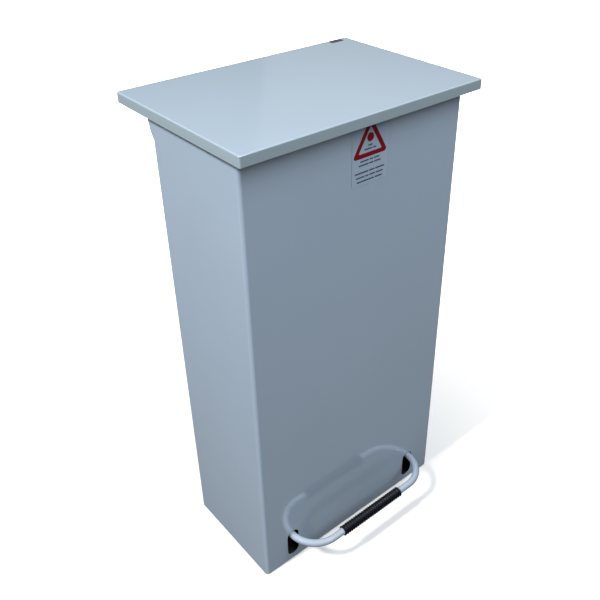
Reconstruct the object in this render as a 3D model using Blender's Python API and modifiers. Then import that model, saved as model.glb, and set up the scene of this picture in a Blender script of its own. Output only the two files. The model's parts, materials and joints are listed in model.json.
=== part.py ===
"""Pedal-operated steel can for oily waste, with a rear-hinged lid and a lift-out liner.

Units are metres. +Z is up, +X is the can's right side seen from the front, and +Y is the back.
The origin is on the floor, under the middle of the casing's footprint.

Treading on the pedal bar turns the pedal shaft. The lever on the shaft lifts the lift rod, which
runs up a channel on the rear panel and turns the lift arm, and with it the lid, about the hinge.
"""

import math

import bmesh
import bpy
from mathutils import Matrix, Vector

# ---------------------------------------------------------------- driving dimensions
SHEET = 0.0012  # casing and lid steel
CLEAR = 0.0003  # gap between pieces that rest on each other
FLOOR_GAP = 0.002  # the glides hold the casing's bottom edge this far off the floor

CASING_WIDTH = 0.410
CASING_DEPTH = 0.210
CASING_TOP = FLOOR_GAP + 0.806
HEM = 0.012  # width of the inward safety edge round the casing's top
FRONT_FOLD = 0.006  # outer radius of the vertical folds at the front
REAR_FOLD = 0.003
REAR_FLANGE = 0.015  # inward flange down each rear edge

LID_SKIRT_BOTTOM = FLOOR_GAP + 0.7988
LID_SKIRT = 0.0157  # height of the lid's turned-down edge
LID_SIDE_OVERHANG = 0.013
LID_FRONT_OVERHANG = 0.025
LID_REAR_OVERHANG = 0.069
LID_RETURN = 0.006  # inward turn at the bottom of the skirt
LID_OPEN = math.radians(70)

PEDAL_LEVEL = FLOOR_GAP + 0.0635
PEDAL_ROD = 0.0065  # radius of the pedal bar
PEDAL_HALF_WIDTH = 0.146
PEDAL_REACH = 0.0535  # from the front panel to the crossbar's centre line
PEDAL_TRAVEL = math.radians(20)
PIVOT_Y = -0.010
GRIP_LENGTH = 0.140
GRIP_RADIUS = 0.0095
GRIP_SHIFT = -0.0035

SLOT_X = 0.1445
SLOT_WIDTH = 0.025
SLOT_BOTTOM = FLOOR_GAP + 0.0105
SLOT_TOP = FLOOR_GAP + 0.0715

HINGE_Y = 0.1075
HINGE_Z = FLOOR_GAP + 0.787
EAR_REACH = 0.0085  # how far the side panels flare behind the rear edge beside the hinge
EAR_BOTTOM = FLOOR_GAP + 0.761
EAR_FULL = FLOOR_GAP + 0.788

FLOOR_TRAY_TOP = 0.110  # upper face of the inner floor above the pedal gear
BASE_Z = FLOOR_GAP + 0.002  # underside of the base plate
LINER_TOP = FLOOR_GAP + 0.773
LINER_SHEET = 0.0008
LINER_HALF_TOP = 0.190
LINER_TAPER = 0.008  # how much each side leans in towards the liner's bottom
LINER_CORNER = 0.018
LINER_RIM = 0.007  # outward turn round the liner's mouth
LINER_LIP = 0.006  # downward edge of that turn
HANDLE_DROP = 0.035
HANDLE_HALF = 0.040
HANDLE_WIRE = 0.0025

# ---------------------------------------------------------------- derived dimensions
HALF_W = CASING_WIDTH / 2
HALF_D = CASING_DEPTH / 2
INNER_W = HALF_W - SHEET - CLEAR  # half width of anything fitted between the side panels
REAR_PANEL_Y = HALF_D - SHEET - CLEAR - SHEET / 2  # middle of the rear panel's sheet
PANEL_FACE = REAR_PANEL_Y - SHEET / 2 - CLEAR  # where pieces fixed inside the rear panel start
LID_TOP = LID_SKIRT_BOTTOM + LID_SKIRT
LID_UNDER = LID_TOP - SHEET - CLEAR
CROSSBAR_Y = -HALF_D - PEDAL_REACH

# The lever and the lift arm share the lift rod, so each has the length that gives equal lifts.
HALF_LID = LID_OPEN / 2
HALF_PEDAL = PEDAL_TRAVEL / 2
LENGTH_RATIO = math.sin(HALF_LID) / math.sin(HALF_PEDAL)
MEAN_LID = (1 + math.cos(HALF_LID)) / 2
MEAN_PEDAL = (1 + math.cos(HALF_PEDAL)) / 2
ARM_RADIUS = (HINGE_Y - PIVOT_Y) / (LENGTH_RATIO * MEAN_PEDAL + MEAN_LID)
LEVER_RADIUS = ARM_RADIUS * LENGTH_RATIO
ROD_Y = HINGE_Y - ARM_RADIUS * MEAN_LID
ARM_PIN = Vector((0, HINGE_Y - ARM_RADIUS * math.cos(HALF_LID), HINGE_Z - ARM_RADIUS * math.sin(HALF_LID)))
LEVER_PIN = Vector(
    (0, PIVOT_Y + LEVER_RADIUS * math.cos(HALF_PEDAL), PEDAL_LEVEL - LEVER_RADIUS * math.sin(HALF_PEDAL))
)

# ---------------------------------------------------------------- small hardware
SHAFT_RADIUS = 0.006
SHAFT_HALF = 0.1775
BRACKET_X = 0.168
BUSH_BORE = 0.0062
BUSH_OUTER = 0.008
HUB_RADIUS = 0.010
HINGE_PIN = 0.0025
HINGE_EAR_X = 0.187
HINGE_PLATE_X = 0.1845
HINGE_SHEET = 0.002
HINGE_HOLE = 0.0028
ROD_RADIUS = 0.004
CLEVIS_PIN = 0.003
FORK_GAP = 0.0042
FORK_WIDTH = 0.0082
FORK_DEPTH = 0.021
LINK_SHEET = 0.003  # lever and lift arm
RIVET_SHANK = 0.0017
RIVET_HOLE = 0.0020
RIVET_HEIGHTS = (0.060, 0.390, 0.720)
RIVET_X = HALF_W - 0.0085
CHANNEL_HALF = 0.020
CHANNEL_SHEET = 0.001
CHANNEL_FRONT = 0.066
CHANNEL_BOTTOM = 0.096
CHANNEL_TOP = 0.750
CHANNEL_FLANGE = 0.012
GLIDE_X = 0.172
GLIDE_Y = 0.080
GLIDE_RADIUS = 0.012
TRAY_CORNER = 0.005  # corner radius of the base plate and the inner floor
HUB_LENGTH = 0.022
CLIP_SHEET = 0.001  # spring clips on the shaft and the link pins
EASED = 0.0001  # chamfer on thin rings, and how far joined shapes overlap or fall short

# ---------------------------------------------------------------- liner placing
LINER_FRONT = -HALF_D + SHEET + 0.0113
LINER_REAR = CHANNEL_FRONT - 0.0055
LINER_MIDDLE_Y = (LINER_FRONT + LINER_REAR) / 2
HANDLE_X = LINER_HALF_TOP - LINER_SHEET - 0.0062
HANDLE_Z = LINER_TOP - 0.023
LUG_BORE = HANDLE_WIRE + 0.0003
LUG_RADIUS = 0.0048

AXIS_X = Matrix.Rotation(math.radians(90), 4, "Y")  # turns local Z to +X
AXIS_Y = Matrix.Rotation(math.radians(-90), 4, "X")  # turns local Z to +Y
AXIS_Z = Matrix.Identity(4)
SIDE_PLANE = Matrix(((0, 0, 1, 0), (1, 0, 0, 0), (0, 1, 0, 0), (0, 0, 0, 1)))  # outline in Y and Z
FRONT_PLANE = Matrix.Rotation(math.radians(90), 4, "X")  # outline in X and Z

MATERIALS = {
    "painted_casing": ((0.52, 0.60, 0.67), 0.25, 0.0),
    "painted_pedal": ((0.66, 0.72, 0.80), 0.25, 0.0),
    "black_primer": ((0.015, 0.016, 0.018), 0.60, 0.0),
    "galvanised": ((0.52, 0.54, 0.56), 0.45, 1.0),
    "zinc_plated": ((0.62, 0.63, 0.65), 0.30, 1.0),
    "black_rubber": ((0.020, 0.020, 0.024), 0.70, 0.0),
    "nylon": ((0.72, 0.72, 0.68), 0.50, 0.0),
    "label_film": ((0.55, 0.62, 0.68), 0.20, 0.0),
    "dark_badge": ((0.04, 0.05, 0.12), 0.30, 0.0),
}


# ---------------------------------------------------------------- scene and helpers
def clear_scene():
    for old in list(bpy.data.objects):
        bpy.data.objects.remove(old)


def new_collection(name, hidden=False):
    made = bpy.data.collections.new(name)
    bpy.context.scene.collection.children.link(made)
    made.hide_render = hidden
    return made


clear_scene()
PARTS = new_collection("oily_waste_can")
CUTTERS = new_collection("cutters", hidden=True)


def material(name):
    """The named material, made the first time it is asked for."""
    found = bpy.data.materials.get(name)
    if found:
        return found
    colour, roughness, metallic = MATERIALS[name]
    made = bpy.data.materials.new(name)
    made.use_nodes = True
    shader = made.node_tree.nodes["Principled BSDF"]
    shader.inputs["Base Color"].default_value = (*colour, 1)
    shader.inputs["Roughness"].default_value = roughness
    shader.inputs["Metallic"].default_value = metallic
    made.diffuse_color = (*colour, 1)
    return made


def add_object(name, data, finish, place=Vector(), turn=AXIS_Z, parent=None, smooth=False):
    """Links an object to the parts, or to the cutters when it has no finish."""
    made = bpy.data.objects.new(name, data)
    made.matrix_world = Matrix.Translation(place) @ turn
    if finish is None:
        CUTTERS.objects.link(made)
        made.hide_render = True
        made.display_type = "WIRE"
    else:
        PARTS.objects.link(made)
        data.materials.append(material(finish))
    if parent is not None:
        made.parent = parent
        made.matrix_parent_inverse = parent.matrix_world.inverted()
    if smooth:
        data.shade_smooth()
        data.set_sharp_from_angle(angle=math.radians(35))
    return made


def add_pivot(name, place):
    """An empty on a joint's axis, for the pieces that turn or slide with that joint."""
    made = bpy.data.objects.new(name, None)
    made.location = place
    PARTS.objects.link(made)
    bpy.context.view_layer.update()
    return made


def mesh_from(name, model):
    mesh = bpy.data.meshes.new(name)
    model.to_mesh(mesh)
    model.free()
    return mesh


def block_mesh(name, low, high):
    """A box between two corners."""
    low, high = Vector(low), Vector(high)
    model = bmesh.new()
    bmesh.ops.create_cube(model, size=1.0)
    bmesh.ops.scale(model, vec=high - low, verts=model.verts)
    bmesh.ops.translate(model, vec=(low + high) / 2, verts=model.verts)
    return mesh_from(name, model)


def vertical_edges(model, test):
    """Edges that run along Z and whose middle passes the test."""
    found = []
    for edge in model.edges:
        run = edge.verts[1].co - edge.verts[0].co
        if abs(run.z) > 0.9 * run.length and test((edge.verts[0].co + edge.verts[1].co) / 2):
            found.append(edge)
    return found


def folded_block_mesh(name, low, high, front_radius, rear_radius):
    """A box whose vertical edges are rounded as folded sheet is."""
    mesh = block_mesh(name, low, high)
    model = bmesh.new()
    model.from_mesh(mesh)
    middle = (low[1] + high[1]) / 2
    for radius, test in ((front_radius, lambda p: p.y < middle), (rear_radius, lambda p: p.y > middle)):
        edges = vertical_edges(model, test)
        bmesh.ops.bevel(model, geom=edges, offset=radius, segments=6, profile=0.5, affect="EDGES")
    model.to_mesh(mesh)
    model.free()
    return mesh


def arc(centre, radius, start, end, steps):
    """Points along an arc, with both ends; angles are in degrees."""
    points = []
    for i in range(steps + 1):
        angle = math.radians(start + (end - start) * i / steps)
        points.append((centre[0] + radius * math.cos(angle), centre[1] + radius * math.sin(angle)))
    return points


def circle(centre, radius, steps=24):
    return arc(centre, radius, 0, 360, steps)[:-1]


def obround(centre, length, width, upright=False, steps=10):
    """A slot outline with round ends; length is from end to end."""
    reach = (length - width) / 2
    if upright:
        top = arc((centre[0], centre[1] + reach), width / 2, 0, 180, steps)
        bottom = arc((centre[0], centre[1] - reach), width / 2, 180, 360, steps)
        return top + bottom
    right = arc((centre[0] + reach, centre[1]), width / 2, -90, 90, steps)
    left = arc((centre[0] - reach, centre[1]), width / 2, 90, 270, steps)
    return right + left


def outline_mesh(name, loops, thickness):
    """A flat outline given a thickness, centred on its plane. The loops after the first are holes."""
    curve = bpy.data.curves.new(name, "CURVE")
    curve.dimensions = "2D"
    curve.fill_mode = "BOTH"
    curve.extrude = thickness / 2
    for loop in loops:
        spline = curve.splines.new("POLY")
        spline.points.add(len(loop) - 1)
        for point, (u, v) in zip(spline.points, loop):
            point.co = (u, v, 0, 1)
        spline.use_cyclic_u = True
    return solid_from_curve(name, curve)


def rod_mesh(name, points, radius, sides=16):
    """A round bar along the points, closed at both ends."""
    curve = bpy.data.curves.new(name, "CURVE")
    curve.dimensions = "3D"
    curve.bevel_depth = radius
    curve.bevel_resolution = (sides - 4) // 2
    curve.use_fill_caps = True
    spline = curve.splines.new("POLY")
    spline.points.add(len(points) - 1)
    for point, place in zip(spline.points, points):
        point.co = (*place, 1)
    return solid_from_curve(name, curve)


def solid_from_curve(name, curve):
    """The curve's own shape as one welded mesh."""
    guide = bpy.data.objects.new(name + "_guide", curve)
    bpy.context.scene.collection.objects.link(guide)
    graph = bpy.context.evaluated_depsgraph_get()
    mesh = bpy.data.meshes.new_from_object(guide.evaluated_get(graph))
    bpy.data.objects.remove(guide)
    model = bmesh.new()
    model.from_mesh(mesh)
    bmesh.ops.remove_doubles(model, verts=model.verts, dist=1e-6)
    model.to_mesh(mesh)
    model.free()
    mesh.name = name
    return mesh


def turned(name, profile, finish, place, turn=AXIS_Z, steps=24, closed=False, parent=None):
    """A turned piece: the profile's (radius, height) points run down its outer side."""
    mesh = bpy.data.meshes.new(name)
    edges = [(i, i + 1) for i in range(len(profile) - 1)]
    if closed:
        edges.append((len(profile) - 1, 0))
    mesh.from_pydata([(r, 0, z) for r, z in profile], edges, [])
    made = add_object(name, mesh, finish, place, turn, parent)
    screw = made.modifiers.new("turn", "SCREW")
    screw.steps = steps
    screw.render_steps = steps
    screw.use_merge_vertices = True
    screw.merge_threshold = 1e-5
    screw.use_smooth_shade = True
    return made


def disc(name, radius, length, finish, place, turn=AXIS_Z, chamfer=0.0004, steps=24, parent=None):
    """A short bar centred on its place, with chamfered ends."""
    half = length / 2
    profile = [(0, half), (radius - chamfer, half), (radius, half - chamfer)]
    profile += [(r, -z) for r, z in reversed(profile)]
    return turned(name, profile, finish, place, turn, steps, parent=parent)


def collar(name, inner, outer, length, finish, place, turn=AXIS_Z, chamfer=0.0004, steps=24, parent=None):
    """A ring centred on its place."""
    half = length / 2
    profile = [
        (inner, half),
        (outer - chamfer, half),
        (outer, half - chamfer),
        (outer, chamfer - half),
        (outer - chamfer, -half),
        (inner, -half),
    ]
    return turned(name, profile, finish, place, turn, steps, closed=True, parent=parent)


def block(name, low, high, finish, parent=None):
    """A box between two corners, with its origin at its middle."""
    low, high = Vector(low), Vector(high)
    half = (high - low) / 2
    return add_object(name, block_mesh(name, -half, half), finish, (low + high) / 2, parent=parent)


def plate(name, loops, thickness, finish, place, plane, parent=None):
    return add_object(name, outline_mesh(name, loops, thickness), finish, place, plane, parent)


def combine(target, tool, operation):
    step = target.modifiers.new(operation.lower(), "BOOLEAN")
    step.operation = operation
    step.object = tool
    step.solver = "EXACT"


def cut_block(target, low, high):
    combine(target, block("cut_" + target.name, low, high, None), "DIFFERENCE")


def join_block(target, low, high):
    combine(target, block("join_" + target.name, low, high, None), "UNION")


def cut_bar(target, radius, length, place, turn, steps=24):
    tool = disc("cut_" + target.name, radius, length, None, place, turn, steps=steps)
    combine(target, tool, "DIFFERENCE")


def thicken(target, thickness):
    """Gives an open surface its sheet thickness, on the inner side."""
    shell = target.modifiers.new("sheet", "SOLIDIFY")
    shell.thickness = thickness
    shell.offset = -1
    shell.use_even_offset = True


# ---------------------------------------------------------------- casing
def ear_outline():
    """Side view of the flare at the top of a side panel's rear edge."""
    root_y = HALF_D - 0.012
    tip_y = HALF_D + EAR_REACH
    curve = []
    steps = 6
    for i in range(steps + 1):
        share = i / steps
        swell = math.sin(share * math.pi / 2)
        curve.append((HALF_D + EAR_REACH * swell, EAR_BOTTOM + (EAR_FULL - EAR_BOTTOM) * share))
    return [(root_y, EAR_BOTTOM)] + curve + [(tip_y, CASING_TOP), (root_y, CASING_TOP)]


def make_body_shell():
    """Front and side panels folded from one sheet, with a safety hem, pedal slots and hinge ears."""
    mesh = folded_block_mesh(
        "body_shell",
        (-HALF_W, -HALF_D, FLOOR_GAP),
        (HALF_W, HALF_D, CASING_TOP),
        FRONT_FOLD,
        REAR_FOLD,
    )
    shell = add_object("body_shell", mesh, "painted_casing", smooth=True)
    beyond = 0.05
    hollow = folded_block_mesh(
        "hollow",
        (-HALF_W + SHEET, -HALF_D + SHEET, FLOOR_GAP - beyond),
        (HALF_W - SHEET, HALF_D - SHEET, CASING_TOP - SHEET),
        FRONT_FOLD - SHEET,
        REAR_FOLD - SHEET,
    )
    combine(shell, add_object("cut_hollow", hollow, None), "DIFFERENCE")
    above, behind = CASING_TOP + beyond, HALF_D + beyond
    mouth_w = HALF_W - HEM
    cut_block(shell, (-mouth_w, -HALF_D + HEM, CASING_TOP - beyond), (mouth_w, behind, above))
    window_w = HALF_W - REAR_FLANGE
    window_y = HALF_D - REAR_FLANGE / 2
    cut_block(shell, (-window_w, window_y, FLOOR_GAP - beyond), (window_w, behind, above))
    wall_w = HALF_W - SHEET
    cut_block(shell, (-wall_w, window_y, EAR_BOTTOM), (wall_w, behind, above))
    ear_sheet = SHEET - 2 * EASED
    through = 0.02
    for side in (-1, 1):
        place = (side * (HALF_W - SHEET / 2), 0, 0)
        ear = plate("join_ear", [ear_outline()], ear_sheet, None, place, SIDE_PLANE)
        combine(shell, ear, "UNION")
        slot_middle = (SLOT_BOTTOM + SLOT_TOP) / 2
        slot = obround((0, slot_middle), SLOT_TOP - SLOT_BOTTOM, SLOT_WIDTH, upright=True)
        cutter = plate("cut_slot", [slot], through, None, (side * SLOT_X, -HALF_D, 0), FRONT_PLANE)
        combine(shell, cutter, "DIFFERENCE")
        for height in RIVET_HEIGHTS:
            cut_bar(shell, RIVET_HOLE, through, (side * RIVET_X, HALF_D, height), AXIS_Y, steps=12)
    return shell


def make_rear_panel():
    """Flat rear sheet behind the flanges, notched at the top corners for the hinges."""
    bottom = FLOOR_GAP + 0.001
    full_top = HINGE_Z + 0.0035
    notch_top = HINGE_Z - 0.013
    notch_x = 0.163
    edge_x = INNER_W - REAR_FOLD + SHEET
    corners = [
        (-edge_x, bottom),
        (edge_x, bottom),
        (edge_x, notch_top),
        (notch_x, notch_top),
        (notch_x, full_top),
        (-notch_x, full_top),
        (-notch_x, notch_top),
        (-edge_x, notch_top),
    ]
    holes = [circle((s * RIVET_X, h), RIVET_HOLE, 12) for s in (-1, 1) for h in RIVET_HEIGHTS]
    plate("rear_panel", [corners] + holes, SHEET, "painted_casing", (0, REAR_PANEL_Y, 0), FRONT_PLANE)


def make_rivets():
    """Blind rivets that hold the rear panel to the casing's rear flanges."""
    head_radius = 0.0034
    head_height = 0.0012
    head_face = HALF_D + EASED
    tail_length = 0.001
    tail = PANEL_FACE - head_face - tail_length
    profile = [(0, head_height)]
    profile += [(head_radius * math.sin(a), head_height * math.cos(a)) for a in (0.5, 1.0)]
    profile += [(head_radius, 0), (RIVET_SHANK, 0), (RIVET_SHANK, tail), (0, tail)]
    for side, word in ((-1, "left"), (1, "right")):
        for number, height in enumerate(RIVET_HEIGHTS, 1):
            place = (side * RIVET_X, head_face, height)
            turned(f"panel_rivet_{word}_{number}", profile, "zinc_plated", place, AXIS_Y, steps=12)


def tray_mesh(name, low, high, open_end, corner):
    """An open tray surface: a box without the face at its open end, "top" or "bottom"."""
    mesh = folded_block_mesh(name, low, high, corner, corner)
    model = bmesh.new()
    model.from_mesh(mesh)
    level = high[2] if open_end == "top" else low[2]
    lid = [f for f in model.faces if all(abs(v.co.z - level) < 1e-6 for v in f.verts)]
    bmesh.ops.delete(model, geom=lid, context="FACES")
    model.to_mesh(mesh)
    model.free()
    return mesh


def face_outward(model, direction):
    """Makes an open tray's normals agree, with its widest level face pointing up (1) or down (-1)."""
    bmesh.ops.recalc_face_normals(model, faces=model.faces)
    flat = [face for face in model.faces if abs(face.normal.z) > 0.9]
    largest = max(flat, key=lambda face: face.calc_area())
    if largest.normal.z * direction < 0:
        bmesh.ops.reverse_faces(model, faces=model.faces)


def make_base_plate():
    """Bottom tray with upturned edges, which carries the pedal's pivot brackets."""
    flange = 0.010
    low = (-INNER_W, -HALF_D + SHEET + CLEAR, BASE_Z)
    high = (INNER_W, PANEL_FACE - CLEAR, BASE_Z + flange)
    mesh = tray_mesh("base_plate", low, high, "top", TRAY_CORNER)
    base = add_object("base_plate", mesh, "black_primer")
    thicken(base, SHEET)


def make_inner_floor():
    """Raised floor that keeps the liner clear of the pedal gear, open at the back for the lift rod."""
    flange = 0.014
    low = (-INNER_W, -HALF_D + SHEET + CLEAR, FLOOR_TRAY_TOP - flange)
    high = (INNER_W, PANEL_FACE - CLEAR, FLOOR_TRAY_TOP)
    mesh = tray_mesh("inner_floor", low, high, "bottom", TRAY_CORNER)
    floor = add_object("inner_floor", mesh, "galvanised")
    thicken(floor, SHEET)
    beyond = 0.05
    gap_x = CHANNEL_HALF + CHANNEL_FLANGE + 0.002
    gap_y = CHANNEL_FRONT - 0.003
    cut_block(floor, (-gap_x, gap_y, low[2] - beyond), (gap_x, high[1] + beyond, high[2] + beyond))


def make_glides():
    """Rubber glides under the base plate's corners."""
    edge = 0.001
    height = BASE_Z - CLEAR
    profile = [(0, height), (GLIDE_RADIUS, height), (GLIDE_RADIUS, edge), (GLIDE_RADIUS - edge, 0), (0, 0)]
    for y, row in ((-GLIDE_Y, "front"), (GLIDE_Y, "rear")):
        for x, word in ((-GLIDE_X, "left"), (GLIDE_X, "right")):
            turned(f"floor_glide_{row}_{word}", profile, "black_rubber", (x, y, 0), steps=20)


# ---------------------------------------------------------------- pedal gear
def make_pedal_supports():
    """A bracket and a bush at each end of the pedal shaft."""
    sheet = 0.0025
    foot_z = BASE_Z + SHEET + CLEAR
    foot_length = 0.022
    foot_half = 0.024
    head_radius = 0.014
    foot_y = foot_half - 0.0005
    flange_radius = 0.0115
    flange_sheet = 0.0015
    half = 0.0035
    for side, word in ((-1, "left"), (1, "right")):
        head = arc((PIVOT_Y, PEDAL_LEVEL), head_radius, 0, 180, 10)
        edge = head + [(PIVOT_Y - foot_half, foot_z), (PIVOT_Y + foot_half, foot_z)]
        hole = circle((PIVOT_Y, PEDAL_LEVEL), BUSH_OUTER + CLEAR)
        name = f"pedal_bracket_{word}"
        bracket = plate(name, [edge, hole], sheet, "black_primer", (side * BRACKET_X, 0, 0), SIDE_PLANE)
        xs = sorted((side * (BRACKET_X - foot_length), side * BRACKET_X))
        low = (xs[0], PIVOT_Y - foot_y, foot_z - EASED)
        join_block(bracket, low, (xs[1], PIVOT_Y + foot_y, foot_z + sheet))
        profile = [
            (BUSH_BORE, half + flange_sheet),
            (flange_radius, half + flange_sheet),
            (flange_radius, half),
            (BUSH_OUTER, half),
            (BUSH_OUTER, -half),
            (BUSH_BORE, -half),
        ]
        turn = AXIS_X if side < 0 else AXIS_X @ Matrix.Rotation(math.pi, 4, "X")
        flange_gap = sheet / 2 + CLEAR - half
        place = (side * (BRACKET_X + flange_gap), PIVOT_Y, PEDAL_LEVEL)
        turned(f"pedal_bush_{word}", profile, "nylon", place, turn, closed=True)


def pedal_path():
    """Centre line of the pedal bar, from the left arm's rear end round the front to the right one."""
    turn_centre_x = PEDAL_HALF_WIDTH - PEDAL_REACH
    end_y = PIVOT_Y - HUB_RADIUS - CLEAR
    steps = 10
    left = arc((-turn_centre_x, -HALF_D), PEDAL_REACH, 180, 270, steps)
    right = arc((turn_centre_x, -HALF_D), PEDAL_REACH, 270, 360, steps)
    flat = [(-PEDAL_HALF_WIDTH, end_y)] + left + right + [(PEDAL_HALF_WIDTH, end_y)]
    return [(x, y - PIVOT_Y, 0) for x, y in flat]


def make_pedal(pivot):
    """Bent pedal bar with its grip, welded by two hubs to the shaft that carries the lever."""
    axis = Vector((0, PIVOT_Y, PEDAL_LEVEL))
    bar = rod_mesh("pedal_bar", pedal_path(), PEDAL_ROD)
    add_object("pedal_bar", bar, "painted_pedal", axis, parent=pivot, smooth=True)
    grip_place = (GRIP_SHIFT, CROSSBAR_Y, PEDAL_LEVEL)
    collar(
        "pedal_grip",
        PEDAL_ROD + CLEAR,
        GRIP_RADIUS,
        GRIP_LENGTH,
        "black_rubber",
        grip_place,
        AXIS_X,
        chamfer=0.001,
        parent=pivot,
    )
    disc("pedal_shaft", SHAFT_RADIUS, 2 * SHAFT_HALF, "zinc_plated", axis, AXIS_X, parent=pivot)
    clip_inset = 0.0022
    clip_radius = 0.010
    for side, word in ((-1, "left"), (1, "right")):
        hub = (side * PEDAL_HALF_WIDTH, PIVOT_Y, PEDAL_LEVEL)
        bore = SHAFT_RADIUS + CLEAR
        collar(f"pedal_hub_{word}", bore, HUB_RADIUS, HUB_LENGTH, "painted_pedal", hub, AXIS_X, parent=pivot)
        clip = (side * (SHAFT_HALF - clip_inset), PIVOT_Y, PEDAL_LEVEL)
        name = f"shaft_clip_{word}"
        collar(name, bore, clip_radius, CLIP_SHEET, "zinc_plated", clip, AXIS_X, EASED, parent=pivot)


def link_outline(start, end, start_radius, end_radius):
    """Outline of a straight link: two round ends joined by their common tangents."""
    dy, dz = end[0] - start[0], end[1] - start[1]
    length = math.hypot(dy, dz)
    heading = math.degrees(math.atan2(dz, dy))
    lean = math.degrees(math.acos((start_radius - end_radius) / length))
    far = arc(end, end_radius, heading - lean, heading + lean, 12)
    near = arc(start, start_radius, heading + lean, heading - lean + 360, 14)
    return far + near


def make_lever(pivot):
    """Flat lever on the middle of the pedal shaft, with the pin that carries the lower fork."""
    tip = (LEVER_PIN.y, LEVER_PIN.z)
    boss_radius, tip_radius = 0.014, 0.007
    edge = link_outline((PIVOT_Y, PEDAL_LEVEL), tip, boss_radius, tip_radius)
    holes = [
        circle((PIVOT_Y, PEDAL_LEVEL), SHAFT_RADIUS + CLEAR),
        circle(tip, CLEVIS_PIN + CLEAR),
    ]
    plate("pedal_lever", [edge] + holes, LINK_SHEET, "zinc_plated", Vector(), SIDE_PLANE, parent=pivot)
    make_clevis_pin("pedal_link", LEVER_PIN, pivot)


def make_clevis_pin(word, place, pivot):
    """A headed pin through a fork, held by a spring clip on its far end."""
    half = FORK_WIDTH / 2 + 0.0004
    tail = -half - 0.003
    head = 0.0015
    head_radius = 0.005
    chamfer = 0.0005
    profile = [
        (0, half + head),
        (head_radius - chamfer, half + head),
        (head_radius, half + head - chamfer),
        (head_radius, half),
        (CLEVIS_PIN, half),
        (CLEVIS_PIN, tail + chamfer),
        (CLEVIS_PIN - chamfer, tail),
        (0, tail),
    ]
    turned(word + "_pin", profile, "zinc_plated", place, AXIS_X, steps=20, parent=pivot)
    clip_radius = 0.0055
    clip = place - Vector((half + 0.0012, 0, 0))
    bore = CLEVIS_PIN + CLEAR
    name = word + "_clip"
    collar(name, bore, clip_radius, CLIP_SHEET, "zinc_plated", clip, AXIS_X, EASED, 20, parent=pivot)


# ---------------------------------------------------------------- lift rod
def make_fork(name, pin, up, throat, pivot):
    """Fork on an end of the lift rod. Its slots run along Y, because the pin moves on an arc."""
    direction = 1 if up else -1
    beyond_pin = 0.009
    socket = 0.011
    solid_end = 0.015
    beyond = 0.02
    pin_play = 0.00055
    tip = pin.z + direction * beyond_pin
    crotch = pin.z - direction * throat
    back = crotch - direction * solid_end
    low_z, high_z = sorted((tip, back))
    half = FORK_WIDTH / 2
    low = (-half, ROD_Y - FORK_DEPTH / 2, low_z)
    high = (half, ROD_Y + FORK_DEPTH / 2, high_z)
    fork = block(name, low, high, "zinc_plated", parent=pivot)
    gap_low, gap_high = sorted((crotch, tip + direction * beyond))
    cut_block(fork, (-FORK_GAP / 2, ROD_Y - beyond, gap_low), (FORK_GAP / 2, ROD_Y + beyond, gap_high))
    wander = ARM_RADIUS * (1 - math.cos(HALF_LID))
    slot_height = 2 * (CLEVIS_PIN + pin_play)
    slot = obround((ROD_Y, pin.z), wander + slot_height + 2 * CLEAR, slot_height)
    tool = plate("cut_" + name, [slot], beyond, None, Vector(), SIDE_PLANE)
    combine(fork, tool, "DIFFERENCE")
    cut_bar(fork, ROD_RADIUS + CLEAR, 2 * socket, (0, ROD_Y, back), AXIS_Z, steps=20)
    return back + direction * socket


def make_lift_rod(pivot):
    """Straight rod between the two forks."""
    socket_play = 0.0005
    upper_throat, lower_throat = 0.009, 0.0125
    top = make_fork("upper_fork", ARM_PIN, True, upper_throat, pivot) - socket_play
    bottom = make_fork("lower_fork", LEVER_PIN, False, lower_throat, pivot) + socket_play
    middle = Vector((0, ROD_Y, (top + bottom) / 2))
    disc("lift_rod", ROD_RADIUS, top - bottom, "zinc_plated", middle, steps=20, parent=pivot)


def make_rod_channel():
    """Hat-section cover on the rear panel that keeps waste bags off the lift rod."""
    out, inn = CHANNEL_HALF, CHANNEL_HALF - CHANNEL_SHEET
    foot = CHANNEL_HALF + CHANNEL_FLANGE
    face, foot_y = PANEL_FACE, PANEL_FACE - CHANNEL_SHEET
    front, front_in = CHANNEL_FRONT, CHANNEL_FRONT + CHANNEL_SHEET
    half_outline = [(foot, foot_y), (foot, face), (inn, face), (inn, front_in)]
    inner_side = [(-x, y) for x, y in reversed(half_outline)]
    outer_side = [(-out, foot_y), (-out, front), (out, front), (out, foot_y)]
    section = half_outline + inner_side + outer_side
    height = CHANNEL_TOP - CHANNEL_BOTTOM
    place = (0, 0, (CHANNEL_TOP + CHANNEL_BOTTOM) / 2)
    plate("rod_channel", [section], height, "galvanised", place, AXIS_Z)


def make_rod_guides():
    """Nylon blocks in the channel, which the lift rod slides through."""
    half = CHANNEL_HALF - CHANNEL_SHEET - CLEAR
    half_height = 0.008
    for height, word in ((0.150, "lower"), (0.680, "upper")):
        low = (-half, CHANNEL_FRONT + CHANNEL_SHEET + CLEAR, height - half_height)
        high = (half, PANEL_FACE - CLEAR, height + half_height)
        guide = block(f"rod_guide_{word}", low, high, "nylon")
        cut_bar(guide, ROD_RADIUS + CLEAR, 4 * half_height, (0, ROD_Y, height), AXIS_Z, steps=20)


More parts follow.
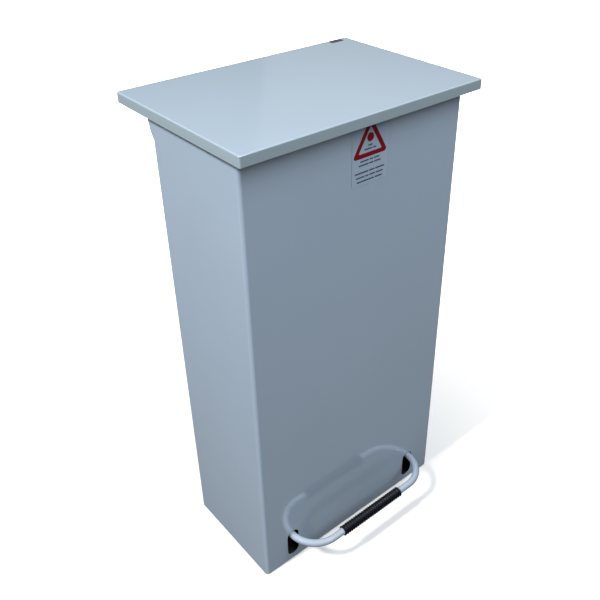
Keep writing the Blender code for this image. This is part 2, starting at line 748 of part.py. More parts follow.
# ---------------------------------------------------------------- lid and hinge
def make_hinge_brackets():
    """Casing side of the hinge: a bracket, a headed pin and its clip on each side."""
    ear_radius = 0.006
    front_y = 0.086
    foot_width = 0.022
    foot_bottom = HINGE_Z - 0.052
    foot_top = HINGE_Z - 0.018
    bend_y = PANEL_FACE
    edge = [(front_y, foot_bottom), (bend_y, foot_bottom), (bend_y, HINGE_Z - 0.0095)]
    edge += arc((HINGE_Y, HINGE_Z), ear_radius, -90, 90, 10)
    edge += [(front_y + 0.004, HINGE_Z + ear_radius), (front_y, HINGE_Z - 0.004)]
    hole = circle((HINGE_Y, HINGE_Z), HINGE_HOLE)
    for side, word in ((-1, "left"), (1, "right")):
        name = f"hinge_bracket_{word}"
        place = (side * HINGE_EAR_X, 0, 0)
        bracket = plate(name, [edge, hole], HINGE_SHEET, "zinc_plated", place, SIDE_PLANE)
        xs = sorted((side * (HINGE_EAR_X - foot_width), side * HINGE_EAR_X))
        low = (xs[0], bend_y - HINGE_SHEET, foot_bottom + 0.001)
        join_block(bracket, low, (xs[1], bend_y - EASED, foot_top))
        make_hinge_pin(side, word)


def make_hinge_pin(side, word):
    """Pin through both hinge ears, with its head outside and a spring clip inside."""
    inner_x, outer_x = 0.1795, HINGE_EAR_X + HINGE_SHEET / 2 + CLEAR
    middle_x = (inner_x + outer_x) / 2
    half = (outer_x - inner_x) / 2
    head = 0.0012
    head_radius = 0.004
    chamfer = 0.0004
    profile = [
        (0, half + head),
        (head_radius - chamfer, half + head),
        (head_radius, half + head - chamfer),
        (head_radius, half),
        (HINGE_PIN, half),
        (HINGE_PIN, -half),
        (0, -half),
    ]
    turn = AXIS_X if side > 0 else AXIS_X @ Matrix.Rotation(math.pi, 4, "X")
    turned(f"hinge_pin_{word}", profile, "zinc_plated", (side * middle_x, HINGE_Y, HINGE_Z), turn, steps=20)
    clip = (side * (inner_x + 0.0012), HINGE_Y, HINGE_Z)
    bore, clip_radius, clip_sheet = HINGE_PIN + 0.0002, 0.0045, 0.0008
    collar(f"hinge_clip_{word}", bore, clip_radius, clip_sheet, "zinc_plated", clip, AXIS_X, EASED, 20)


def make_lid_tray(pivot):
    """Lid pressed from one sheet: a flat top, a skirt all round and a narrow return below it."""
    x = HALF_W + LID_SIDE_OVERHANG
    front, rear = -HALF_D - LID_FRONT_OVERHANG, HALF_D + LID_REAR_OVERHANG
    corner, top_fold = 0.003, 0.002
    mesh = tray_mesh("lid_tray", (-x, front, LID_SKIRT_BOTTOM), (x, rear, LID_TOP), "bottom", corner)
    model = bmesh.new()
    model.from_mesh(mesh)
    rim = [e for e in model.edges if e.is_boundary]
    grown = bmesh.ops.extrude_edge_only(model, edges=rim)
    points = [g for g in grown["geom"] if isinstance(g, bmesh.types.BMVert)]
    middle_y = (front + rear) / 2
    half = (rear - front) / 2
    for point in points:
        point.co.x *= (x - LID_RETURN) / x
        point.co.y = middle_y + (point.co.y - middle_y) * (half - LID_RETURN) / half
    top = [e for e in model.edges if all(abs(v.co.z - LID_TOP) < 1e-6 for v in e.verts)]
    outer = [e for e in top if any(abs(f.normal.z) < 0.5 for f in e.link_faces)]
    bmesh.ops.bevel(model, geom=outer, offset=top_fold, segments=3, profile=0.5, affect="EDGES")
    face_outward(model, 1)
    model.to_mesh(mesh)
    model.free()
    tray = add_object("lid_tray", mesh, "painted_casing", parent=pivot, smooth=True)
    thicken(tray, SHEET)


def make_lid_fittings(pivot):
    """Stiffener, hinge plates and buffers on the lid's underside, and a plain badge on its top."""
    depth = 0.008
    sheet = 0.001
    stiffener_length = 0.350
    stiffener_y = -0.020
    crown, foot = 0.022, 0.038
    top, bottom = LID_UNDER, LID_UNDER - depth
    half_section = [(foot, top - sheet), (foot, top), (crown - sheet, top), (crown - sheet, bottom + sheet)]
    mirrored = [(-y, z) for y, z in reversed(half_section)]
    outer_side = [(-crown, top - sheet), (-crown, bottom), (crown, bottom), (crown, top - sheet)]
    section = half_section + mirrored + outer_side
    place = (0, stiffener_y, 0)
    plate("lid_stiffener", [section], stiffener_length, "painted_casing", place, SIDE_PLANE, parent=pivot)
    make_hinge_plates(pivot)
    buffer_top = LID_UNDER
    buffer_bottom = CASING_TOP + CLEAR
    root, tip = 0.0045, 0.004
    profile = [(0, buffer_top), (root, buffer_top), (tip, buffer_bottom), (0, buffer_bottom)]
    for side, word in ((-1, "left"), (1, "right")):
        place = (side * (HALF_W - HEM / 2), -HALF_D + HEM / 2, 0)
        turned(f"lid_buffer_{word}", profile, "black_rubber", place, steps=20, parent=pivot)
    badge_bottom = LID_TOP + CLEAR
    badge_sheet = 0.0004
    low = (0.175, HALF_D + 0.054, badge_bottom)
    high = (0.201, HALF_D + 0.064, badge_bottom + badge_sheet)
    block("lid_badge", low, high, "dark_badge", parent=pivot)


def make_hinge_plates(pivot):
    """Lid side of the hinge: an angle on the lid's underside with a rounded ear on the hinge pin."""
    ear_radius = 0.0065
    foot_width = 0.018
    front_y, rear_y = HINGE_Y - 0.010, HINGE_Y + 0.030
    edge = arc((HINGE_Y, HINGE_Z), ear_radius, -180, 0, 12)
    edge += [(rear_y, LID_UNDER - 0.010), (rear_y, LID_UNDER), (front_y, LID_UNDER)]
    hole = circle((HINGE_Y, HINGE_Z), HINGE_HOLE)
    for side, word in ((-1, "left"), (1, "right")):
        name = f"lid_hinge_plate_{word}"
        place = (side * HINGE_PLATE_X, 0, 0)
        hinge = plate(name, [edge, hole], HINGE_SHEET, "zinc_plated", place, SIDE_PLANE, parent=pivot)
        xs = sorted((side * (HINGE_PLATE_X - foot_width), side * HINGE_PLATE_X))
        low = (xs[0], front_y + 0.0005, LID_UNDER - HINGE_SHEET)
        join_block(hinge, low, (xs[1], rear_y - 0.0005, LID_UNDER - EASED))


def make_lift_arm(pivot):
    """Angle on the lid's underside that reaches down to the lift rod's upper fork."""
    pin = (ARM_PIN.y, ARM_PIN.z)
    end_radius = 0.007
    foot_width = 0.025
    front_y, rear_y = ARM_PIN.y - 0.020, ARM_PIN.y + end_radius
    edge = arc(pin, end_radius, -180, 0, 12)
    edge += [(rear_y, LID_UNDER), (front_y, LID_UNDER)]
    edge += [(front_y, LID_UNDER - 0.010), (ARM_PIN.y - end_radius, LID_UNDER - 0.020)]
    hole = circle(pin, CLEVIS_PIN + CLEAR)
    arm = plate("lift_arm", [edge, hole], LINK_SHEET, "zinc_plated", Vector(), SIDE_PLANE, parent=pivot)
    low = (0, front_y + 0.0005, LID_UNDER - LINK_SHEET)
    join_block(arm, low, (foot_width, rear_y - 0.0005, LID_UNDER - EASED))
    make_clevis_pin("lid_link", ARM_PIN, pivot)


# ---------------------------------------------------------------- liner, handles and label
def make_liner():
    """Tapered lift-out bucket with rounded corners and a turned-down rim."""
    bottom = FLOOR_TRAY_TOP + CLEAR
    half_depth = (LINER_REAR - LINER_FRONT) / 2
    low = (-LINER_HALF_TOP, -half_depth, bottom)
    high = (LINER_HALF_TOP, half_depth, LINER_TOP)
    mesh = tray_mesh("inner_liner", low, high, "top", LINER_CORNER)
    model = bmesh.new()
    model.from_mesh(mesh)
    for point in model.verts:
        if abs(point.co.z - bottom) < 1e-6:
            point.co.x *= 1 - LINER_TAPER / LINER_HALF_TOP
            point.co.y *= 1 - LINER_TAPER / half_depth
    edge = [e for e in model.edges if e.is_boundary]
    for grow, drop in ((LINER_RIM, 0), (0, LINER_LIP)):
        made = bmesh.ops.extrude_edge_only(model, edges=edge)["geom"]
        for point in (g for g in made if isinstance(g, bmesh.types.BMVert)):
            point.co.x *= 1 + grow / LINER_HALF_TOP
            point.co.y *= 1 + grow / half_depth
            point.co.z -= drop
        edge = [g for g in made if isinstance(g, bmesh.types.BMEdge) and g.is_boundary]
    face_outward(model, -1)
    model.to_mesh(mesh)
    model.free()
    liner = add_object("inner_liner", mesh, "galvanised", (0, LINER_MIDDLE_Y, 0), smooth=True)
    thicken(liner, LINER_SHEET)


def handle_path(side):
    """Centre line of a drop handle, hanging from its two pivots, relative to their axis."""
    bend = 0.010
    end = HANDLE_HALF + 0.009
    lower_front = arc((-HANDLE_HALF + bend, -HANDLE_DROP + bend), bend, 180, 270, 5)
    lower_rear = arc((HANDLE_HALF - bend, -HANDLE_DROP + bend), bend, 270, 360, 5)
    upper = 0.004
    upper_front = arc((-HANDLE_HALF - upper, -upper), upper, 90, 0, 4)
    upper_rear = arc((HANDLE_HALF + upper, -upper), upper, 180, 90, 4)
    flat = [(-end, 0)] + upper_front + lower_front + lower_rear + upper_rear + [(end, 0)]
    return [(0, y, z) for y, z in flat]


def make_handle(side, word, pivot):
    """Wire drop handle on the inside of the liner's end, and the two lugs that hold it."""
    place = Vector((side * HANDLE_X, LINER_MIDDLE_Y, HANDLE_Z))
    wire = rod_mesh(f"liner_handle_{word}", handle_path(side), HANDLE_WIRE, sides=12)
    add_object(f"liner_handle_{word}", wire, "zinc_plated", place, parent=pivot, smooth=True)
    pad_x = LINER_HALF_TOP - LINER_SHEET - 0.0008
    pad_half_y, pad_half_z = 0.005, 0.0075
    lug_length, lug_chamfer = 0.005, 0.0003
    for end, row in ((-1, "front"), (1, "rear")):
        lug_y = LINER_MIDDLE_Y + end * (HANDLE_HALF + 0.0075)
        name = f"handle_lug_{word}_{row}"
        middle = (place.x, lug_y, place.z)
        lug = collar(name, LUG_BORE, LUG_RADIUS, lug_length, "zinc_plated", middle, AXIS_Y, lug_chamfer, 20)
        xs = sorted((side * (HANDLE_X + 0.0036), side * pad_x))
        low = (xs[0], lug_y - pad_half_y, place.z - pad_half_z)
        join_block(lug, low, (xs[1], lug_y + pad_half_y, place.z + pad_half_z))


def make_front_label():
    """Thin clear film on the front panel, below the lid."""
    half_width, middle_x = 0.034, 0.016
    bottom, top = FLOOR_GAP + 0.700, FLOOR_GAP + 0.798
    radius = 0.003
    right, left = middle_x + half_width, middle_x - half_width
    edge = arc((right - radius, top - radius), radius, 0, 90, 4)
    edge += arc((left + radius, top - radius), radius, 90, 180, 4)
    edge += arc((left + radius, bottom + radius), radius, 180, 270, 4)
    edge += arc((right - radius, bottom + radius), radius, 270, 360, 4)
    film = 0.0003
    plate("front_label", [edge], film, "label_film", (0, -HALF_D - CLEAR - film / 2, 0), FRONT_PLANE)


# ---------------------------------------------------------------- assembly
make_body_shell()
make_rear_panel()
make_rivets()
make_base_plate()
make_inner_floor()
make_glides()
make_pedal_supports()
make_rod_channel()
make_rod_guides()
make_hinge_brackets()
make_liner()
make_front_label()

pedal_pivot = add_pivot("pedal_pivot", (0, PIVOT_Y, PEDAL_LEVEL))
make_pedal(pedal_pivot)
make_lever(pedal_pivot)

rod_slide = add_pivot("rod_slide", (0, ROD_Y, LEVER_PIN.z))
make_lift_rod(rod_slide)

lid_pivot = add_pivot("lid_pivot", (0, HINGE_Y, HINGE_Z))
make_lid_tray(lid_pivot)
make_lid_fittings(lid_pivot)
make_lift_arm(lid_pivot)

for handle_side, handle_word in ((-1, "left"), (1, "right")):
    handle_place = (handle_side * HANDLE_X, LINER_MIDDLE_Y, HANDLE_Z)
    handle_pivot = add_pivot(f"handle_pivot_{handle_word}", handle_place)
    make_handle(handle_side, handle_word, handle_pivot)
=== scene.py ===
"""Looks for the oily waste can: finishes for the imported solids, finer visible pieces, floor, light, camera.

Units are metres in the can's own frame: +Z up, +X the can's right side seen from the front, +Y the back.
"""

import json
import math

import bmesh
import bpy
from mathutils import Matrix, Vector


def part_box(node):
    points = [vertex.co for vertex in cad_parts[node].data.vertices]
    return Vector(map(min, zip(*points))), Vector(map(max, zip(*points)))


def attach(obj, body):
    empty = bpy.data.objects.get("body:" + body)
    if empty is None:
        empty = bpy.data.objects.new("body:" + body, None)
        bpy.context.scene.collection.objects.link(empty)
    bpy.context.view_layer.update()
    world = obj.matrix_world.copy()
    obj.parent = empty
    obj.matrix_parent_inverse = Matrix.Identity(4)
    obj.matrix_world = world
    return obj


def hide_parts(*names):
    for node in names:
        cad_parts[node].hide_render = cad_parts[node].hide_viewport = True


PAINT = (0.384, 0.489, 0.622)  # pale blue-grey powder coat
PAINT_SHADE = (0.375, 0.478, 0.610)
LID_PAINT_PAINTED_SHADE = (0.311, 0.392, 0.475)  # painted shade: the lid's coat is a darker copy of the casing paint, for the stronger light on its top
LID_MOTTLE_PAINTED_SHADE = (0.305, 0.385, 0.466)
SKIRT_PAINTED_LIGHT_TINT = (1.0, 1.01, 0.955)  # painted light: the lid's upright faces are tinted a shade less blue than its top, for how the light falls on them
PEDAL_PAINT = (0.297, 0.356, 0.448)
PEDAL_WORN = (0.276, 0.328, 0.412)
CASING_COAT_INDEX = 2.0  # of the clear top layer, high enough for the pedal's mirror image on the front
COAT_ROUGHNESS = 0.07
ROUGH_LEAST, ROUGH_MOST = 0.17, 0.22  # of the paint at full gloss
PEDAL_GLOSS = 0.35
STEEP, LEVEL = 0.3, 0.7  # upward part of the normal on a face that counts as upright, and as level
SPECK_SHADE = 0.6  # how dark the specks in the paint are, as a share of the paint
FILM_CLEAR, FILM_MILKY = 0.92, 0.94  # how much of the paint's colour shows through the label

SMOOTH_ANGLE = math.radians(32)
WELD = 0.00001
CURVE_WELD = 1e-7
FACE_WEIGHT = 100  # large faces alone set the shading of the small ones beside them

BEND_STEPS = 40
BAR_ROUND = 14

GRIP_RIBS = 27
GRIP_ROUND = 48
GRIP_WALL = 0.0026
GRIP_END = 0.0016  # radius of the rounded ends
GRIP_END_STEPS = 5
RIB_HEIGHT = 0.0014
GROOVE_STEPS = 10

LABEL_MIDDLE_X = 0.0163
LABEL_SHEET = 0.0001
LABEL_CORNER = 0.003
LABEL_INK = 0.00006  # thickness of the printed shapes
INK_GAP = 0.00001  # between the film and the ink
CORNER_STEPS = 5
SIGN_BASE = 0.068
SIGN_BOTTOM = 0.7430
SIGN_BORDER = 0.0068
SIGN_CORNER = 0.0040
SIGN_INNER_CORNER = 0.0012
DOT_LEVEL = 0.7713
DOT_SIZE = 0.0130
DOT_STEPS = 40
BAR_HEIGHT = 0.0022
BAR_GAP = 0.0016
BAR_SPREAD = 0.5  # how uneven the lengths of the bars in a row are
BAR_TURN = 2.4  # radians between one bar's length and the next one's
LABEL_ROWS = (  # level, width and number of bars of each row
    (0.7588, 0.008, 1),
    (0.7536, 0.023, 2),
    (0.7373, 0.037, 3),
    (0.7315, 0.042, 3),
    (0.7203, 0.057, 3),
    (0.7136, 0.052, 4),
    (0.7069, 0.049, 2),
)

BADGE_CORNER = 0.002
BADGE_EASE = 0.0001

DOME_COLOUR = (0.97, 0.985, 1.0)
DOME_START, DOME_FULL = 0.2, 0.95  # sine of the height above the horizon
DOME_LOW, DOME_HIGH = 0.12, 0.5
GLOW_START, GLOW_FULL = 0.25, 1.4  # where the floor starts to lift towards white for the camera
GLOW_LOW = 0.12
FLOOR_HALF = 6
FLOOR_PALE, FLOOR_PALER = (0.80, 0.80, 0.80), (0.82, 0.82, 0.82)
FLOOR_BOUNCE = 0.09  # how pale the floor is to all but the camera, so that the front panel stays in shade
SOFTBOXES = (  # name, place, what it points at, width, height, watts, colour, and whether it shows in gloss
    ("front_box", (0.6, -2.4, 3.5), (0, -0.1, 0.6), 2.2, 2.6, 110, (0.96, 0.99, 1.0), True),
    ("left_box", (-3.0, 0.1, 3.75), (-0.2, 0, 0.6), 0.6, 0.6, 262, (1.0, 0.985, 0.960), True),
    ("rear_box", (2.66, 1.53, 2.0), (0, 0, 0.8), 3.0, 1.0, 1.2, (1, 1, 1), True),
    ("back_fill", (2.2, 2.6, 0.7), (0, 0, 0.45), 2.0, 0.9, 45, (1, 1, 1), False),
)

CAMERA_PLACE = Vector((-0.65418, -0.79826, 1.15983))
CAMERA_HEADING = 0.69994  # to the right of +Y
CAMERA_PITCH = -0.57240
CAMERA_ROLL = -0.00605
CAMERA_LENS = 44.324
CAMERA_SENSOR = 36
CAMERA_SHIFT = (-0.03889, -0.03681)


# ---------------------------------------------------------------- node helpers
def new_material(name):
    """A material with a lone Principled shader, and its tree and shader."""
    made = bpy.data.materials.new(name)
    made.use_nodes = True
    return made, made.node_tree, made.node_tree.nodes["Principled BSDF"]


def object_point(tree):
    """Each piece's own coordinates."""
    return tree.nodes.new("ShaderNodeTexCoord").outputs["Object"]


def noise(tree, point, scale, detail, roughness=0.5):
    made = tree.nodes.new("ShaderNodeTexNoise")
    made.inputs["Scale"].default_value = scale
    made.inputs["Detail"].default_value = detail
    made.inputs["Roughness"].default_value = roughness
    tree.links.new(point, made.inputs["Vector"])
    return made.outputs["Fac"]


def cells(tree, point, scale):
    """A value for each cell of a random tiling."""
    made = tree.nodes.new("ShaderNodeTexVoronoi")
    made.inputs["Scale"].default_value = scale
    tree.links.new(point, made.inputs["Vector"])
    split = tree.nodes.new("ShaderNodeSeparateColor")
    tree.links.new(made.outputs["Color"], split.inputs["Color"])
    return split.outputs["Red"]


def remap(tree, value, low, high, new_low, new_high):
    made = tree.nodes.new("ShaderNodeMapRange")
    for name, number in (("From Min", low), ("From Max", high), ("To Min", new_low), ("To Max", new_high)):
        made.inputs[name].default_value = number
    tree.links.new(value, made.inputs["Value"])
    return made.outputs["Result"]


def mottle(tree, point, scale, detail, low, high, least=0.0, most=1.0, roughness=0.5):
    """Noise, with its part between two levels spread over a range of values."""
    return remap(tree, noise(tree, point, scale, detail, roughness), low, high, least, most)


def blend_colours(tree, share, first, second):
    """A colour between two others; each may be a socket or three numbers."""
    made = tree.nodes.new("ShaderNodeMix")
    made.data_type = "RGBA"
    tree.links.new(share, made.inputs[0])
    for socket, colour in ((made.inputs[6], first), (made.inputs[7], second)):
        if isinstance(colour, tuple):
            socket.default_value = (*colour, 1)
        else:
            tree.links.new(colour, socket)
    return made.outputs[2]


def roughen(tree, shader, point, scale, detail, height, strength, roughness=0.5):
    """Gives the surface a fine grain."""
    made = tree.nodes.new("ShaderNodeBump")
    made.inputs["Strength"].default_value = strength
    made.inputs["Distance"].default_value = height
    tree.links.new(noise(tree, point, scale, detail, roughness), made.inputs["Height"])
    tree.links.new(made.outputs["Normal"], shader.inputs["Normal"])


def upright_share(tree):
    """One where the surface is upright, none where it is level."""
    place = tree.nodes.new("ShaderNodeTexCoord")
    split = tree.nodes.new("ShaderNodeSeparateXYZ")
    tree.links.new(place.outputs["Normal"], split.inputs["Vector"])
    size = tree.nodes.new("ShaderNodeMath")
    size.operation = "ABSOLUTE"
    tree.links.new(split.outputs["Z"], size.inputs[0])
    return remap(tree, size.outputs["Value"], STEEP, LEVEL, 1, 0)


# ---------------------------------------------------------------- finishes
def powder_coat(name, colour, shade, painted_light_tint=None, gloss=1.0, coat_index=1.5):
    """Gloss powder coat: faint cloudiness, fine specks and orange peel, and, when given, a painted-light tint
    for upright faces.
    """
    made, tree, shader = new_material(name)
    point = object_point(tree)
    cloud = mottle(tree, point, scale=7.0, detail=3.0, low=0.35, high=0.65)
    base = blend_colours(tree, cloud, colour, shade)
    # painted light: upright faces get their own tint, standing in for how the light falls on them
    if painted_light_tint:
        painted_side_colour = tuple(part * tint for part, tint in zip(colour, painted_light_tint))
        base = blend_colours(tree, upright_share(tree), base, painted_side_colour)
    specks = mottle(tree, point, scale=1300.0, detail=2.0, low=0.66, high=0.80, most=0.03)
    dark = tuple(SPECK_SHADE * part for part in shade)
    tree.links.new(blend_colours(tree, specks, base, dark), shader.inputs["Base Color"])
    least, most = ROUGH_LEAST / gloss, ROUGH_MOST / gloss
    dullness = mottle(tree, point, scale=24.0, detail=2.0, low=0.3, high=0.7, least=least, most=most)
    tree.links.new(dullness, shader.inputs["Roughness"])
    shader.inputs["Coat Weight"].default_value = gloss
    shader.inputs["Coat Roughness"].default_value = COAT_ROUGHNESS
    shader.inputs["Coat IOR"].default_value = coat_index
    roughen(tree, shader, point, scale=320.0, detail=1.0, height=0.00003, strength=0.12, roughness=0.4)
    return made


def primer(name):
    """Matt black primer with a little dust on it. Its near-black is painted shade, for the dark inside of the
    casing seen through the pedal slots.
    """
    made, tree, shader = new_material(name)
    point = object_point(tree)
    dust = mottle(tree, point, scale=60.0, detail=4.0, low=0.52, high=0.75, roughness=0.6)
    # painted shade: the near-black colour stands in for the shade inside the casing
    colour = blend_colours(tree, dust, (0.012, 0.013, 0.015), (0.030, 0.031, 0.033))
    tree.links.new(colour, shader.inputs["Base Color"])
    tree.links.new(remap(tree, dust, 0, 1, 0.55, 0.80), shader.inputs["Roughness"])
    roughen(tree, shader, point, scale=1400.0, detail=2.0, height=0.00004, strength=0.4)
    return made


def galvanised(name):
    """Hot-dip zinc: spangled cells with slightly different grey and shine."""
    made, tree, shader = new_material(name)
    point = object_point(tree)
    spangle = cells(tree, point, 95.0)
    fine = remap(tree, cells(tree, point, 310.0), 0, 1, 0, 0.35)
    cloud = mottle(tree, point, scale=9.0, detail=3.0, low=0.3, high=0.7, most=0.25)
    grey = blend_colours(tree, spangle, (0.47, 0.49, 0.51), (0.63, 0.65, 0.67))
    grey = blend_colours(tree, fine, grey, (0.56, 0.58, 0.61))
    grey = blend_colours(tree, cloud, grey, (0.50, 0.51, 0.51))
    tree.links.new(grey, shader.inputs["Base Color"])
    tree.links.new(remap(tree, spangle, 0, 1, 0.34, 0.50), shader.inputs["Roughness"])
    shader.inputs["Metallic"].default_value = 1.0
    roughen(tree, shader, point, scale=420.0, detail=2.0, height=0.00005, strength=0.25)
    return made


def zinc_plated(name):
    """Bright zinc plating with a faint yellow and blue passivation."""
    made, tree, shader = new_material(name)
    point = object_point(tree)
    hue = mottle(tree, point, scale=55.0, detail=3.0, low=0.35, high=0.65)
    base = blend_colours(tree, hue, (0.64, 0.65, 0.69), (0.68, 0.66, 0.60))
    stain = mottle(tree, point, scale=210.0, detail=3.0, low=0.55, high=0.80, most=0.5)
    tree.links.new(blend_colours(tree, stain, base, (0.48, 0.48, 0.47)), shader.inputs["Base Color"])
    dullness = mottle(tree, point, scale=130.0, detail=3.0, low=0.3, high=0.7, least=0.34, most=0.48)
    tree.links.new(dullness, shader.inputs["Roughness"])
    shader.inputs["Metallic"].default_value = 1.0
    roughen(tree, shader, point, scale=700.0, detail=2.0, height=0.00003, strength=0.3)
    return made


def rubber(name):
    """Black rubber, with a dull bloom and fine grain."""
    made, tree, shader = new_material(name)
    point = object_point(tree)
    bloom = mottle(tree, point, scale=140.0, detail=4.0, low=0.45, high=0.75, most=0.5, roughness=0.6)
    colour = blend_colours(tree, bloom, (0.002, 0.003, 0.006), (0.005, 0.008, 0.015))
    tree.links.new(colour, shader.inputs["Base Color"])
    tree.links.new(remap(tree, bloom, 0, 0.5, 0.36, 0.52), shader.inputs["Roughness"])
    shader.inputs["Specular IOR Level"].default_value = 0.16
    roughen(tree, shader, point, scale=1500.0, detail=2.0, height=0.00004, strength=0.4)
    return made


def nylon(name):
    """Natural nylon, slightly cloudy."""
    made, tree, shader = new_material(name)
    point = object_point(tree)
    cloud = mottle(tree, point, scale=120.0, detail=3.0, low=0.35, high=0.65)
    colour = blend_colours(tree, cloud, (0.72, 0.71, 0.65), (0.64, 0.63, 0.57))
    tree.links.new(colour, shader.inputs["Base Color"])
    tree.links.new(remap(tree, cloud, 0, 1, 0.40, 0.52), shader.inputs["Roughness"])
    shader.inputs["Subsurface Weight"].default_value = 0.05
    roughen(tree, shader, point, scale=900.0, detail=2.0, height=0.00002, strength=0.3)
    return made


def film(name):
    """Glossy clear film over the paint."""
    made, tree, shader = new_material(name)
    point = object_point(tree)
    cloud = mottle(tree, point, scale=30.0, detail=2.0, low=0.35, high=0.65)
    clear = tuple(FILM_CLEAR * part for part in PAINT)
    milky = tuple(FILM_MILKY * part for part in PAINT)
    tree.links.new(blend_colours(tree, cloud, clear, milky), shader.inputs["Base Color"])
    dullness = mottle(tree, point, scale=80.0, detail=2.0, low=0.3, high=0.7, least=0.12, most=0.20)
    tree.links.new(dullness, shader.inputs["Roughness"])
    roughen(tree, shader, point, scale=45.0, detail=2.0, height=0.00008, strength=0.2)
    return made


def ink(name, colour, worn):
    """Screen-printed ink, a little uneven."""
    made, tree, shader = new_material(name)
    point = object_point(tree)
    patch = mottle(tree, point, scale=400.0, detail=3.0, low=0.45, high=0.75, most=0.5)
    tree.links.new(blend_colours(tree, patch, colour, worn), shader.inputs["Base Color"])
    tree.links.new(remap(tree, patch, 0, 0.5, 0.30, 0.45), shader.inputs["Roughness"])
    shader.inputs["Specular IOR Level"].default_value = 0.2
    roughen(tree, shader, point, scale=1200.0, detail=2.0, height=0.00001, strength=0.3)
    return made


def make_finishes():
    """One procedural material for each of the record's slots, and for the lid and the inks."""
    return {
        "painted_casing": powder_coat("painted_casing", PAINT, PAINT_SHADE, coat_index=CASING_COAT_INDEX),
        "painted_lid": powder_coat("painted_lid", LID_PAINT_PAINTED_SHADE, LID_MOTTLE_PAINTED_SHADE, SKIRT_PAINTED_LIGHT_TINT),
        "painted_pedal": powder_coat("painted_pedal", PEDAL_PAINT, PEDAL_WORN, gloss=PEDAL_GLOSS),
        "black_primer": primer("black_primer"),
        "galvanised": galvanised("galvanised"),
        "zinc_plated": zinc_plated("zinc_plated"),
        "black_rubber": rubber("black_rubber"),
        "nylon": nylon("nylon"),
        "label_film": film("label_film"),
        "dark_badge": ink("dark_badge", (0.045, 0.045, 0.075), (0.070, 0.070, 0.100)),
        "red_ink": ink("red_ink", (0.200, 0.003, 0.010), (0.230, 0.008, 0.016)),
        "dark_ink": ink("dark_ink", (0.055, 0.068, 0.095), (0.090, 0.105, 0.135)),
    }


# ---------------------------------------------------------------- mesh helpers
def shade_group():
    """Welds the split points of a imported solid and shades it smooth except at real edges."""
    group = bpy.data.node_groups.new("weld_and_shade", "GeometryNodeTree")
    group.interface.new_socket("Geometry", in_out="INPUT", socket_type="NodeSocketGeometry")
    group.interface.new_socket("Geometry", in_out="OUTPUT", socket_type="NodeSocketGeometry")
    start = group.nodes.new("NodeGroupInput")
    end = group.nodes.new("NodeGroupOutput")
    flat = group.nodes.new("GeometryNodeRemoveAttribute")
    flat.inputs["Name"].default_value = "custom_normal"
    weld = group.nodes.new("GeometryNodeMergeByDistance")
    weld.inputs["Distance"].default_value = WELD
    faces = group.nodes.new("GeometryNodeSetShadeSmooth")
    faces.domain = "FACE"
    faces.inputs["Shade Smooth"].default_value = True
    edges = group.nodes.new("GeometryNodeSetShadeSmooth")
    edges.domain = "EDGE"
    angle = group.nodes.new("GeometryNodeInputMeshEdgeAngle")
    soft = group.nodes.new("FunctionNodeCompare")
    soft.operation = "LESS_THAN"
    soft.inputs["B"].default_value = SMOOTH_ANGLE
    links = group.links
    links.new(start.outputs[0], flat.inputs["Geometry"])
    links.new(flat.outputs["Geometry"], weld.inputs["Geometry"])
    links.new(weld.outputs["Geometry"], faces.inputs["Geometry"])
    links.new(faces.outputs["Geometry"], edges.inputs["Geometry"])
    links.new(angle.outputs["Unsigned Angle"], soft.inputs["A"])
    links.new(soft.outputs["Result"], edges.inputs["Shade Smooth"])
    links.new(edges.outputs["Geometry"], end.inputs[0])
    return group


def refine(piece, group):
    """Smooth shading with true flats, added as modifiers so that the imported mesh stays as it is."""
    shade = piece.modifiers.new("shade", "NODES")
    shade.node_group = group
    weight = piece.modifiers.new("flats", "WEIGHTED_NORMAL")
    weight.keep_sharp = True
    weight.weight = FACE_WEIGHT


def add_piece(name, mesh, finish, body, slot, *nodes):
    """Links a new visible piece that rides on a body and stands for CAD nodes."""
    mesh.name = name
    made = bpy.data.objects.new(name, mesh)
    bpy.context.scene.collection.objects.link(made)
    mesh.materials.clear()
    mesh.materials.append(finish)
    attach(made, body)
    if nodes:
        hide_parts(*nodes)


def arc(centre, radius, start, end, steps):
    """Points along an arc with both ends; angles are in degrees."""
    points = []
    for i in range(steps + 1):
        angle = math.radians(start + (end - start) * i / steps)
        points.append((centre[0] + radius * math.cos(angle), centre[1] + radius * math.sin(angle)))
    return points


def mesh_of_curve(curve):
    """The curve's shape as a welded mesh."""
    guide = bpy.data.objects.new("guide", curve)
    bpy.context.scene.collection.objects.link(guide)
    mesh = bpy.data.meshes.new_from_object(guide.evaluated_get(bpy.context.evaluated_depsgraph_get()))
    bpy.data.objects.remove(guide)
    model = bmesh.new()
    model.from_mesh(mesh)
    bmesh.ops.remove_doubles(model, verts=model.verts, dist=CURVE_WELD)
    model.to_mesh(mesh)
    model.free()
    return mesh


def flat_mesh(loops, thickness, plane, ease=0.0):
    """A flat shape with holes, given a thickness and eased edges, moved into its plane."""
    curve = bpy.data.curves.new("flat", "CURVE")
    curve.dimensions = "2D"
    curve.fill_mode = "BOTH"
    curve.extrude = thickness / 2 - ease
    curve.bevel_depth = ease
    curve.bevel_resolution = 1
    curve.offset = -ease
    for loop in loops:
        spline = curve.splines.new("POLY")
        spline.points.add(len(loop) - 1)
        for point, (u, v) in zip(spline.points, loop):
            point.co = (u, v, 0, 1)
        spline.use_cyclic_u = True
    mesh = mesh_of_curve(curve)
    mesh.transform(plane)
    return mesh


def shade_by_angle(mesh):
    mesh.shade_smooth()
    mesh.set_sharp_from_angle(angle=SMOOTH_ANGLE)


